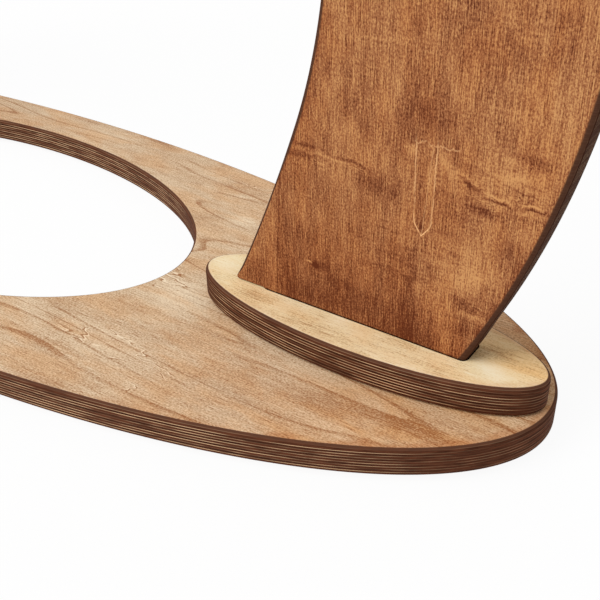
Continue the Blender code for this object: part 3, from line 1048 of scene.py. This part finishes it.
@made_once
def metal_material(bench, shade, roughness, spread):
    """Plated steel: a faintly clouded plate with fine grain, duller in patches.

    The spread is how far the roughness goes either way from its middle.
    """
    place = bench.value("ShaderNodeTexCoord", {}, "Object")
    cloud = bench.noise(bench.scaled(place, 350.0), 3.0)
    grain = bench.noise(bench.scaled(place, 4200.0), 2.0)
    dull = tuple(v * 0.72 for v in shade)
    uneven = (grain - 0.5).times(0.4, cloud)
    return bench.finish({
        "Base Color": bench.ramp(uneven, [(0.35, dull), (0.62, tuple(shade))]),
        "Roughness": bench.ease(uneven, 0.35, 0.65, roughness + spread, roughness - spread),
        "Metallic": 1.0,
        "Normal": bench.bump(grain, 0.25, 0.00005),
    })


@made_once
def rubber_material(bench, shade):
    """Matt black rubber with a fine pebbled skin and a little grey bloom."""
    place = bench.value("ShaderNodeTexCoord", {}, "Object")
    bloom = bench.noise(bench.scaled(place, 180.0), 3.0)
    pebble = bench.noise(bench.scaled(place, 1800.0), 2.0)
    grey = tuple(v * 2.4 for v in shade)
    return bench.finish({
        "Base Color": bench.ramp(bloom, [(0.40, tuple(shade)), (0.75, grey)]),
        "Roughness": bench.ease(bloom, 0.3, 0.7, 0.72, 0.90),
        "Specular IOR Level": 0.3,
        "Normal": bench.bump(pebble, 0.5, 0.0001),
    })


# Operators


class GONGSTAND_OT_base_plate(Operator):
    """Makes the oval base plate with its opening, its slots and its screw holes"""

    bl_idname = "gong_stand.base_plate"
    bl_label = "Base Plate"

    def execute(self, context):
        stand = context.scene.gong_stand
        base = stand.base
        outer = oval(base.long, base.wide, base.steps)
        inner = oval(base.opening_long, base.opening_wide, base.steps)
        full = np.ones(base.steps)
        grid = band_grid(outer, inner, stand.sheet, True, full, full) + np.array([0.0, 0.0, base_low.z])
        cutters = [slot_cutter(stand, side) for _, side in SIDES]
        cutters += [screw_cutter(stand.screws, place) for _, place in screw_places()]
        mesh = bored(skin("base_plate", grid, ring=True), joined("base_cutters", cutters))
        piece("base_plate_wood", mesh, wood_material("base_birch"), "base", "base_plate")
        return {"FINISHED"}


def slot_cutter(stand, side):
    """The slot's plan with rounded corners, carried straight down through the pad and the base."""
    pads = stand.pads
    half = pads.slot_wide / 2 - pads.slot_corner
    ends = (pads.slot_outer - pads.slot_corner, pads.slot_inner + pads.slot_corner)
    corners = ((ends[0], half), (ends[1], half), (ends[1], -half), (ends[0], -half))
    quarter = np.pi / 2
    plan = np.concatenate([
        arc(corner, pads.slot_corner, k * quarter, (k + 1) * quarter, pads.corner_steps)
        for k, corner in enumerate(corners)
    ])
    plan[:, 0] *= side
    reach = stand.sheet.thickness
    levels = np.array([base_low.z - reach, pad_high.z + reach])
    flat = np.broadcast_to(plan, (2, *plan.shape))
    rise = np.broadcast_to(levels[:, None, None], (2, len(plan), 1))
    return skin("slot", np.concatenate([flat, rise], axis=2), caps=True)


def screw_outline(screws, grow):
    """Radius and height of a countersunk screw above its head's edge, from the head up."""
    cone = screws.head - screws.radius
    radius = [screws.head + grow, screws.radius + grow, screws.radius + grow, screws.point + grow]
    height = [screws.head_edge, screws.head_edge + cone, screws.long - screws.tip, screws.long + grow]
    return np.array(radius), np.array(height)


def screw_cutter(screws, place):
    """The hole of a screw: its outline with room round it, open below."""
    radius, height = screw_outline(screws, screws.play)
    below = -CUTTER_REACH
    radius = np.concatenate([[0.0, radius[0]], radius, [0.0]])
    height = np.concatenate([[below, below], height, [height[-1]]])
    return skin("screw_hole", moved(turned_grid(radius, height, HOLE_STEPS), place))


class GONGSTAND_OT_raised_pads(Operator):
    """Makes the two raised pads, each with its slot and the blind holes of its screws"""

    bl_idname = "gong_stand.raised_pads"
    bl_label = "Raised Pads"

    def execute(self, context):
        stand = context.scene.gong_stand
        pads = stand.pads
        for label, side in SIDES:
            grid = disc_grid(oval(pads.long, pads.wide, pads.steps), stand.sheet)
            grid = moved(grid, (side * pads.middle, 0.0, pad_low.z))
            cutters = [slot_cutter(stand, side)]
            cutters += [screw_cutter(stand.screws, place) for _, place in screw_places([label])]
            mesh = bored(skin("pad", grid, caps=True), joined("pad_cutters", cutters))
            piece("pad_%s_wood" % label, mesh, wood_material("pad_birch"), "base", "pad_" + label)
        return {"FINISHED"}


def ring_outlines(ring, crisp_deep=0.002):
    """The right half of the round frame, from the tenon's end to the top: outer and inner.

    Both have the same number of points. The outer edge is straight along the
    tenon and eases into part of a circle. The inner edge steps in to the shoulder,
    and the leg runs in one easy curve into the round opening. With them come the
    shares of the full round-over: the shoulder keeps a crisper edge, and so does
    the tenon from the crisp depth below the pad's top.
    """
    rise = ring.centre - ring.seat
    foot = ring_low.z - ring.seat
    tenon_outer = math.sqrt(ring.radius ** 2 - rise ** 2)
    tenon_inner = tenon_outer - ring.tenon
    centre = (0.0, rise)
    leave = math.asin((ring.leg_top - ring.centre) / ring.opening)
    stands = -math.asin(rise / ring.radius)
    joins = np.array([ring.opening * math.cos(leave), ring.leg_top - ring.seat])
    corner = np.array([tenon_inner - ring.shoulder, 0.0])
    heading = np.array([math.sin(leave), -math.cos(leave)])
    guide = joins + heading * np.linalg.norm(joins - corner) / 2
    leg = easy_curve(corner, guide, joins, ring.leg_steps)
    step_in = np.array([tenon_inner, 0.0])
    eased = fillet(step_in, corner, leg[1], ring.corner, ring.corner_steps)
    reached = int(np.argmax(leg[:, 1] > eased[-1, 1]))
    inner_foot = np.linspace((tenon_inner, foot), step_in, ring.tenon_steps + 1)
    stands_out = tenon_outer + ring.full
    outer_foot = np.linspace((stands_out, foot), (stands_out, 0.0), ring.tenon_steps + 1)
    inner_low = np.concatenate([eased, leg[reached:]])
    outer_low = arc(centre, ring.radius, stands, leave, len(inner_low))[1:]
    outer_low[:, 0] += ring.full * (1 - ease_in(outer_low[:, 1], 0.0, ring.full_high))
    inner_round = arc(centre, ring.opening, leave, np.pi / 2, ring.round_steps)[1:]
    outer_round = arc(centre, ring.radius, leave, np.pi / 2, ring.round_steps)[1:]
    outer = np.concatenate([outer_foot, outer_low, outer_round])
    inner = np.concatenate([inner_foot, inner_low, inner_round])
    under_pad = ease_in(outer[:, 1], -crisp_deep, 0.0)
    past_corner = ease_in(inner[:, 1], ring.corner, ring.fade)
    return outer, inner, [ring.crisp + (1 - ring.crisp) * share for share in (under_pad, past_corner)]


def ease_in(value, low, high):
    """Nought below low and one above high, with no kink between: three squares less two cubes."""
    s = np.clip((value - low) / (high - low), 0.0, 1.0)
    return s * s * (3 - 2 * s)


class GONGSTAND_OT_round_frame(Operator):
    """Makes the one-piece round frame with its shouldered feet and the holes of the eyes"""

    bl_idname = "gong_stand.round_frame"
    bl_label = "Round Frame"

    def execute(self, context):
        stand = context.scene.gong_stand
        ring = stand.ring
        outer, inner, shares = ring_outlines(ring)
        mirror = np.array([-1.0, 1.0])
        outer, inner = [np.concatenate([half, half[-2::-1] * mirror]) for half in (outer, inner)]
        shares = [np.concatenate([half, half[-2::-1]]) for half in shares]
        grid = standing(band_grid(outer, inner, stand.sheet, False, *shares))
        grid = grid + np.array([0.0, 0.0, ring.seat])
        cutters = [eye_cutter(stand.eyes, ring, side) for _, side in SIDES]
        mesh = bored(skin("round_frame", grid, caps=True), joined("eye_cutters", cutters))
        piece("round_frame_wood", mesh, wood_material("ring_birch"), "frame", "round_frame")
        return {"FINISHED"}


def eye_cutter(eyes, ring, side):
    """The pilot hole of an eye: a plain bore a little deeper than the shank."""
    radius = eyes.wire + eyes.play
    depth = eyes.shank + 2 * eyes.play
    radii = np.array([0.0, radius, radius, 0.0])
    height = np.array([-CUTTER_REACH, -CUTTER_REACH, depth, depth])
    grid = turned_grid(radii, height, HOLE_STEPS)
    return skin("eye_hole", moved(grid, *eye_place(eyes, ring, side)))


def screw_grid(screws, head_rows=24, rows_in_a_turn=6, side_slope=0.0003, end_slope=0.45):
    """A countersunk screw, head down.

    Across the head, height is the depth of a cross: full in two crossing slots,
    fading at their sides over the side slope's width and at their ends over the
    end slope's share of their reach. Above it the outline is turned, with the
    thread's ridge on the shank.
    """
    turn = full_turn(screws.steps)
    reach = np.linspace(0.0, screws.head, head_rows + 1)[:-1, None]
    near = np.minimum(np.abs(reach * np.cos(turn)), np.abs(reach * np.sin(turn)))
    far = np.maximum(np.abs(reach * np.cos(turn)), np.abs(reach * np.sin(turn)))
    in_slot = np.clip((screws.drive_wide / 2 + side_slope / 2 - near) / side_slope, 0.0, 1.0)
    to_end = np.clip((screws.drive - far) / (screws.drive * end_slope), 0.0, 1.0)
    recess = screws.drive_deep * in_slot * to_end
    head_radius, head_height = screw_outline(screws, 0.0)
    rows = int((screws.long - head_height[1]) / screws.pitch * rows_in_a_turn)
    rise = np.linspace(head_height[1], screws.long, rows + 1)[1:]
    envelope = np.interp(rise, head_height, head_radius)
    threaded = thread(rise[:, None], turn, screws.core, screws.radius, screws.pitch)
    threaded *= (envelope / screws.radius)[:, None]
    flank = np.array([screws.head, screws.head, screws.radius])[:, None]
    flank_height = np.array([0.0, screws.head_edge, head_height[1]])
    ones = np.ones(screws.steps)
    radius = np.vstack([reach * ones, flank * ones, threaded, np.zeros((1, screws.steps))])
    height = np.vstack([recess, flank_height[:, None] * ones, rise[:, None] * ones, screws.long * ones[None]])
    return turned_grid(radius, height, screws.steps)


class GONGSTAND_OT_pad_screws(Operator):
    """Makes the countersunk screws that hold the pads to the base plate"""

    bl_idname = "gong_stand.pad_screws"
    bl_label = "Pad Screws"

    def execute(self, context):
        stand = context.scene.gong_stand
        metal = metal_material("zinc_plate", shade=stand.metals.zinc, roughness=0.38, spread=0.08)
        grid = screw_grid(stand.screws)
        for node, place in screw_places():
            mesh = skin(node, moved(grid, place))
            piece("threaded_" + node, mesh, metal, "base", node)
        return {"FINISHED"}


def foot_grid(feet, edge_rows=8, chamfer=0.0003, dish=(0.72, 0.66, 0.2, 0.0), dish_deep=0.22):
    """A foot's outline, turned: a chamfer above, an arc below, and a shallow dish in its underside.

    The dish's radii are shares of the foot's and its depth is a share of its height.
    """
    turn = np.linspace(0.0, np.pi / 2, edge_rows + 1)
    lower_edge = feet.radius - feet.edge + feet.edge * np.cos(turn)
    radius = [0.0, feet.radius - chamfer, feet.radius, *lower_edge, *(feet.radius * share for share in dish)]
    floor = feet.high * dish_deep
    rise = feet.edge * (1 - np.sin(turn))
    height = [feet.high, feet.high, feet.high - chamfer, *rise, 0.0, floor, floor, floor]
    return turned_grid(np.array(radius), np.array(height), feet.steps)


class GONGSTAND_OT_rubber_feet(Operator):
    """Makes the six rubber feet under the base plate"""

    bl_idname = "gong_stand.rubber_feet"
    bl_label = "Rubber Feet"

    def execute(self, context):
        stand = context.scene.gong_stand
        rubber = rubber_material("foot_rubber", shade=stand.metals.rubber)
        grid = foot_grid(stand.feet)
        for number in range(1, FEET + 1):
            node = "rubber_foot_%d" % number
            mesh = skin(node, moved(grid, underside(node)))
            piece("moulded_" + node, mesh, rubber, "base", node)
        return {"FINISHED"}


def screw_eye_grid(eyes, rows_in_a_turn=8, bend_rows=14, ring_rows=88,
                   plain_long=0.003, run_out=0.0008, point=0.25, taper=0.0045):
    """Shank, neck and ring of one wire, in its own XZ plane, with a thread on the shank.

    The radius is the thread's above the plain part, fading to the wire's over the
    run-out. The shank's end has the point's share of it, which grows evenly to
    all of it over the taper.
    """
    ring = eyes.bore + eyes.wire
    drop = eye_drop(eyes)
    touch = math.atan2(drop - eyes.stand_off, -eyes.neck)
    rows = int(eyes.shank / eyes.pitch * rows_in_a_turn)
    shank = np.stack([np.zeros(rows), np.linspace(eyes.shank, -eyes.stand_off, rows)], axis=1)
    bend = arc((-eyes.neck, -eyes.stand_off), eyes.neck, 0.0, touch - np.pi, bend_rows)
    turn = arc((0.0, -drop), ring, touch, 2 * np.pi + eyes.close, ring_rows)
    path = np.concatenate([shank, bend[1:], turn[1:]])
    rise = path[:, 1][:, None]
    ridge = thread(rise, full_turn(eyes.steps), eyes.core, eyes.wire, eyes.pitch)
    plain = np.clip((plain_long - rise) / run_out, 0.0, 1.0)
    share = np.clip(point + (eyes.shank - rise) / taper * (1 - point), point, 1.0)
    plain[rows:] = share[rows:] = 1.0
    radius = (ridge * (1 - plain) + eyes.wire * plain) * share
    tip, thin = rounded_end(path, eyes.wire, False)
    radius = np.vstack([radius, all_round(thin, eyes.steps)])
    return wire_grid(np.concatenate([path, tip]), radius, eyes.steps)


def nickel(stand):
    """The plating of the eyes and the hooks."""
    return metal_material("nickel_plate", shade=stand.metals.nickel, roughness=0.24, spread=0.05)


class GONGSTAND_OT_screw_eyes(Operator):
    """Makes the two screw eyes in the top of the opening"""

    bl_idname = "gong_stand.screw_eyes"
    bl_label = "Screw Eyes"

    def execute(self, context):
        stand = context.scene.gong_stand
        metal = nickel(stand)
        for label, side in SIDES:
            place, tilt = eye_place(stand.eyes, stand.ring, side)
            node = "screw_eye_" + label
            mesh = skin(node, moved(screw_eye_grid(stand.eyes), place, tilt), caps=True)
            piece("threaded_" + node, mesh, metal, "frame", node)
        return {"FINISHED"}


def s_hook_grid(hooks, eyes):
    """Two bends of one wire that turn opposite ways, with rounded ends, in its own XZ plane."""
    top = hooks.top_bore + hooks.wire
    low = hooks.low_bore + hooks.wire
    top_middle = eyes.wire + hooks.gap + hooks.wire - top
    low_middle = top_middle - top - low
    upper = arc((0.0, top_middle), top, hooks.top_start, 1.5 * np.pi, hooks.bend_steps)
    lower = arc((0.0, low_middle), low, np.pi / 2, hooks.low_end, hooks.bend_steps)
    path = np.concatenate([upper, lower[1:]])
    first, first_thin = rounded_end(path, hooks.wire, True)
    last, last_thin = rounded_end(path, hooks.wire, False)
    radius = np.concatenate([first_thin, np.full(len(path), hooks.wire), last_thin])
    return wire_grid(np.concatenate([first, path, last]), radius, hooks.steps)


class GONGSTAND_OT_s_hooks(Operator):
    """Makes the two S hooks that hang in the eyes"""

    bl_idname = "gong_stand.s_hooks"
    bl_label = "S Hooks"

    def execute(self, context):
        stand = context.scene.gong_stand
        metal = nickel(stand)
        for label, side in SIDES:
            place, tilt = eye_place(stand.eyes, stand.ring, side)
            drop = eye_drop(stand.eyes)
            pivot = place - np.array([math.sin(tilt), 0.0, math.cos(tilt)]) * drop
            pivot[2] -= stand.eyes.bore + stand.eyes.wire
            grid = moved(s_hook_grid(stand.hooks, stand.eyes), pivot, heading=math.pi / 2)
            node = "s_hook_" + label
            piece("bent_" + node, skin(node, grid), metal, "hook_" + label, node)
        return {"FINISHED"}


class GONGSTAND_OT_stage(Operator):
    """Makes the floor, the light and the camera"""

    bl_idname = "gong_stand.stage"
    bl_label = "Stage"

    def execute(self, context):
        stage = context.scene.gong_stand.stage
        studio_floor(stage)
        studio_sky(stage)
        key_lamp(stage)
        photo_camera(context.scene, stage)
        context.scene.view_settings.view_transform = "Standard"
        return {"FINISHED"}


def seen_share(bench):
    """One where the camera, a reflection or clear material looks straight at a surface, else nought."""
    rays = bench.node("ShaderNodeLightPath", {}).outputs
    seen = bench.math("ADD", rays["Is Camera Ray"], rays["Is Glossy Ray"], clamp=True)
    return bench.math("ADD", seen, rays["Is Transmission Ray"], clamp=True)


def studio_floor(stage, rows=8, steps=96):
    """A flat round floor that keeps the stand's shadow and is white to the camera."""
    reach = np.linspace(0.0, stage.floor_reach, rows + 1)
    mesh = skin("studio_floor", turned_grid(reach, np.zeros(len(reach)), steps))
    tidy(mesh)
    mesh.flip_normals()
    floor = placed("studio_floor", mesh)
    bench = Bench(bpy.data.materials.new("floor_paper"))
    bench.finish({"Base Color": (*stage.floor, 1.0), "Roughness": 0.9})
    glow = bench.value("ShaderNodeEmission", {"Color": WHITE, "Strength": 1.0})
    share = seen_share(bench) * stage.floor_glow
    both = bench.value("ShaderNodeMixShader", {0: share, 1: bench.shader.outputs["BSDF"], 2: glow})
    bench.feed(bench.tree.nodes["Material Output"].inputs["Surface"], both)
    mesh.materials.append(bench.owner)


def studio_sky(stage):
    """Even light from all round, and plain white where the camera or a reflection sees it."""
    world = bpy.data.worlds.new("studio_sky")
    bpy.context.scene.world = world
    bench = Bench(world, "Background")
    sky_or_white = {"Value": seen_share(bench), "To Min": stage.sky, "To Max": 1.0}
    bench.finish({"Color": WHITE, "Strength": bench.value("ShaderNodeMapRange", sky_or_white, "Result")})


def towards(azimuth, elevation):
    """The way from the stand's front, turned by the azimuth and raised by the elevation."""
    flat = math.cos(elevation)
    return Vector((math.sin(azimuth) * flat, -math.cos(azimuth) * flat, math.sin(elevation)))


def key_lamp(stage):
    """A wide soft lamp from the left of the camera."""
    data = bpy.data.lights.new("key_lamp", "SUN")
    data.energy = stage.key
    data.angle = stage.key_softness
    lamp = placed("key_lamp", data)
    way = towards(stage.key_azimuth, stage.key_elevation)
    lamp.rotation_euler = way.to_track_quat("Z", "Y").to_euler()


def photo_camera(scene, stage):
    """The camera at the photograph's place, turned by its azimuth, elevation and roll."""
    azimuth, roll = stage.camera_azimuth, stage.camera_roll
    back = towards(azimuth, stage.camera_elevation)
    right = Vector((math.cos(azimuth), math.sin(azimuth), 0.0))
    up = back.cross(right)
    turned_right = math.cos(roll) * right + math.sin(roll) * up
    turned_up = -math.sin(roll) * right + math.cos(roll) * up
    data = bpy.data.cameras.new("photo_camera")
    data.lens = stage.lens
    data.sensor_width = SENSOR_WIDTH
    data.clip_start = NEAREST_SEEN
    camera = placed("photo_camera", data)
    turn = Matrix((turned_right, turned_up, back)).transposed()
    camera.matrix_world = Matrix.Translation(stage.camera_place) @ turn.to_4x4()
    scene.camera = camera


class GONGSTAND_PT_sidebar(Panel):
    """Lists the stand's pieces with their sizes and colours"""

    bl_idname = "GONGSTAND_PT_sidebar"
    bl_label = "Gong Stand"
    bl_space_type = "VIEW_3D"
    bl_region_type = "UI"
    bl_category = "Gong Stand"

    def draw(self, context):
        stand = context.scene.gong_stand
        for group_name, operator in GROUPS:
            box = self.layout.box()
            if operator:
                box.operator(operator)
            group = getattr(stand, group_name)
            for key in group.__annotations__:
                box.prop(group, key)


GROUPS = (
    ("sheet", None),
    ("stain", None),
    ("metals", None),
    ("base", "gong_stand.base_plate"),
    ("pads", "gong_stand.raised_pads"),
    ("ring", "gong_stand.round_frame"),
    ("screws", "gong_stand.pad_screws"),
    ("feet", "gong_stand.rubber_feet"),
    ("eyes", "gong_stand.screw_eyes"),
    ("hooks", "gong_stand.s_hooks"),
    ("stage", "gong_stand.stage"),
)

CLASSES = (
    GongStandSheet,
    GongStandBase,
    GongStandPads,
    GongStandRing,
    GongStandScrews,
    GongStandFeet,
    GongStandEyes,
    GongStandHooks,
    GongStandStain,
    GongStandMetals,
    GongStandStage,
    GongStandSettings,
    GONGSTAND_OT_base_plate,
    GONGSTAND_OT_raised_pads,
    GONGSTAND_OT_round_frame,
    GONGSTAND_OT_pad_screws,
    GONGSTAND_OT_rubber_feet,
    GONGSTAND_OT_screw_eyes,
    GONGSTAND_OT_s_hooks,
    GONGSTAND_OT_stage,
    GONGSTAND_PT_sidebar,
)


def register():
    for item in CLASSES:
        bpy.utils.register_class(item)
    bpy.types.Scene.gong_stand = PointerProperty(type=GongStandSettings)


def unregister():
    del bpy.types.Scene.gong_stand
    for item in reversed(CLASSES):
        bpy.utils.unregister_class(item)


def main():
    register()
    bpy.ops.gong_stand.stage()
    bpy.ops.gong_stand.base_plate()
    bpy.ops.gong_stand.raised_pads()
    bpy.ops.gong_stand.round_frame()
    bpy.ops.gong_stand.pad_screws()
    bpy.ops.gong_stand.rubber_feet()
    bpy.ops.gong_stand.screw_eyes()
    bpy.ops.gong_stand.s_hooks()


if __name__ == "__main__":
    main()
